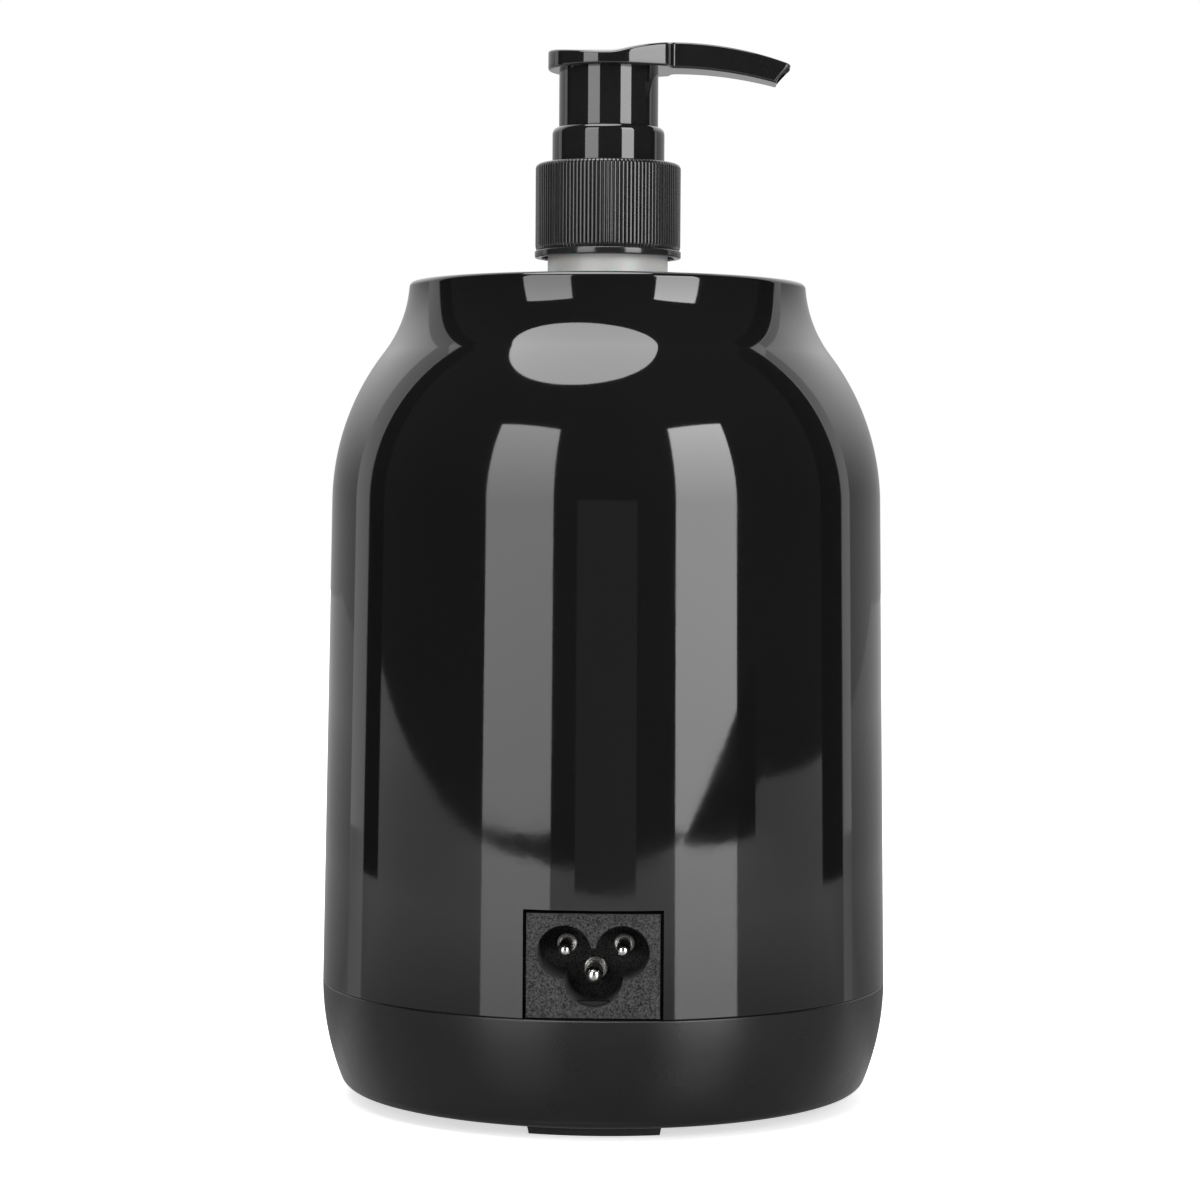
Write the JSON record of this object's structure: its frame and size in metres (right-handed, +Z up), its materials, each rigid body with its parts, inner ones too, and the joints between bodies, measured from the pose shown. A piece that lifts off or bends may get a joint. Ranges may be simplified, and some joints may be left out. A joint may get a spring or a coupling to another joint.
{
  "type": "massage oil warmer",
  "caption": "Jar-shaped electric warmer for massage oil with a heated well, a lift-out pump bottle, push buttons, a display window and a three-pin power inlet.",
  "frame": {"origin": "on the table, on the axis of the housing and bottle, under the feet", "axes": "+Z up along the axis, -Y towards the controls, +Y towards the power inlet, the spout along -X at rest"},
  "size_m": [0.104, 0.104, 0.1944],
  "materials": {
    "gloss_black": "polished moulded black",
    "satin_black": "satin moulded black",
    "black_rubber": "matte rubber",
    "screw_steel": "zinc plated",
    "cup_aluminium": "drawn, satin",
    "grey_silicone": "matte silicone",
    "support_plastic": "heat-resistant moulding",
    "heater_film": "polyimide film",
    "insulation_felt": "pressed fibre",
    "dark_resin": "phenolic resin",
    "sensor_resin": "potted bead",
    "inlet_black": "fine-grained moulding",
    "pin_nickel": "nickel plated",
    "board_green": "solder resist",
    "display_dark": "display front",
    "smoked_lens": "smoked window",
    "switch_black": "moulded",
    "wire_sleeve": "insulated wire",
    "lead_sleeve": "braided glass sleeve",
    "ribbon_grey": "ribbon cable",
    "button_black": "satin moulded black",
    "natural_plastic": "natural translucent",
    "gasket_foam": "closed foam",
    "pump_white": "natural moulding",
    "pump_black": "polished moulded black",
    "cap_black": "ribbed moulded black",
    "natural_tube": "extruded tube",
    "ball_steel": "polished",
    "piston_white": "moulded",
    "spring_steel": "drawn wire"
  },
  "bodies": {
    "warmer": {"outer_shell": "gloss_black", "base": "satin_black", "rubber_feet": "black_rubber", "base_screws": "screw_steel", "heating_cup": "cup_aluminium", "cup_seal": "grey_silicone", "cup_support": "support_plastic", "heater_band": "heater_film", "insulation_sleeve": "insulation_felt", "thermal_cutout": "dark_resin", "temperature_sensor": "sensor_resin", "power_inlet": "inlet_black", "inlet_pins": "pin_nickel", "power_board": "board_green", "power_board_screws": "screw_steel", "control_board": "board_green", "control_board_screws": "screw_steel", "display_module": "display_dark", "display_lens": "smoked_lens", "tact_switches": "switch_black", "inlet_wires": "wire_sleeve", "heater_leads": "lead_sleeve", "ribbon_cable": "ribbon_grey"},
    "key_down": {"button_down": "button_black"},
    "key_power": {"button_power": "button_black"},
    "key_up": {"button_up": "button_black"},
    "bottle_body": {"bottle": "natural_plastic"},
    "pump_body": {"neck_gasket": "gasket_foam", "pump_cylinder": "pump_white", "lock_collar": "pump_black", "dip_tube": "natural_tube"},
    "ball": {"valve_ball": "ball_steel"},
    "cap": {"screw_cap": "cap_black"},
    "plunger": {"pump_stem": "pump_white", "piston": "piston_white", "pump_spring": "spring_steel"},
    "head": {"pump_head": "pump_black"}
  },
  "joints": [
    {"name": "bottle_lift", "type": "slide", "parent": "warmer", "child": "bottle_body", "axis": [0, 0, 1], "range_m": [0, 0.12]},
    {"name": "pump_rise", "type": "slide", "parent": "bottle_body", "child": "pump_body", "axis": [0, 0, 1], "range_m": [0, 0.005]},
    {"name": "cap_turn", "type": "hinge", "parent": "pump_body", "child": "cap", "pos_m": [0, 0, 0.1637], "axis": [0, 0, 1], "range_deg": [0, 540]},
    {"name": "pump_press", "type": "slide", "parent": "pump_body", "child": "plunger", "axis": [0, 0, -1], "range_m": [0, 0.009], "stiffness_N_per_m": 1200, "springref_m": -0.006, "deforming": ["pump_spring"]},
    {"name": "head_swivel", "type": "hinge", "parent": "plunger", "child": "head", "pos_m": [0, 0, 0.185], "axis": [0, 0, 1], "continuous": true},
    {"name": "valve_ball_lift", "type": "slide", "parent": "pump_body", "child": "ball", "axis": [0, 0, 1], "range_m": [0, 0.0015]},
    {"name": "button_down_press", "type": "slide", "parent": "warmer", "child": "key_down", "axis": [0, 1, 0], "range_m": [0, 0.0005], "stiffness_N_per_m": 1000, "springref_m": -0.0008},
    {"name": "button_power_press", "type": "slide", "parent": "warmer", "child": "key_power", "axis": [0, 1, 0], "range_m": [0, 0.0005], "stiffness_N_per_m": 1000, "springref_m": -0.0008},
    {"name": "button_up_press", "type": "slide", "parent": "warmer", "child": "key_up", "axis": [0, 1, 0], "range_m": [0, 0.0005], "stiffness_N_per_m": 1000, "springref_m": -0.0008}
  ],
  "couplings": [
    {"joint": "pump_rise", "follows": "cap_turn", "m_per_rad": 0.0005093}
  ]
}
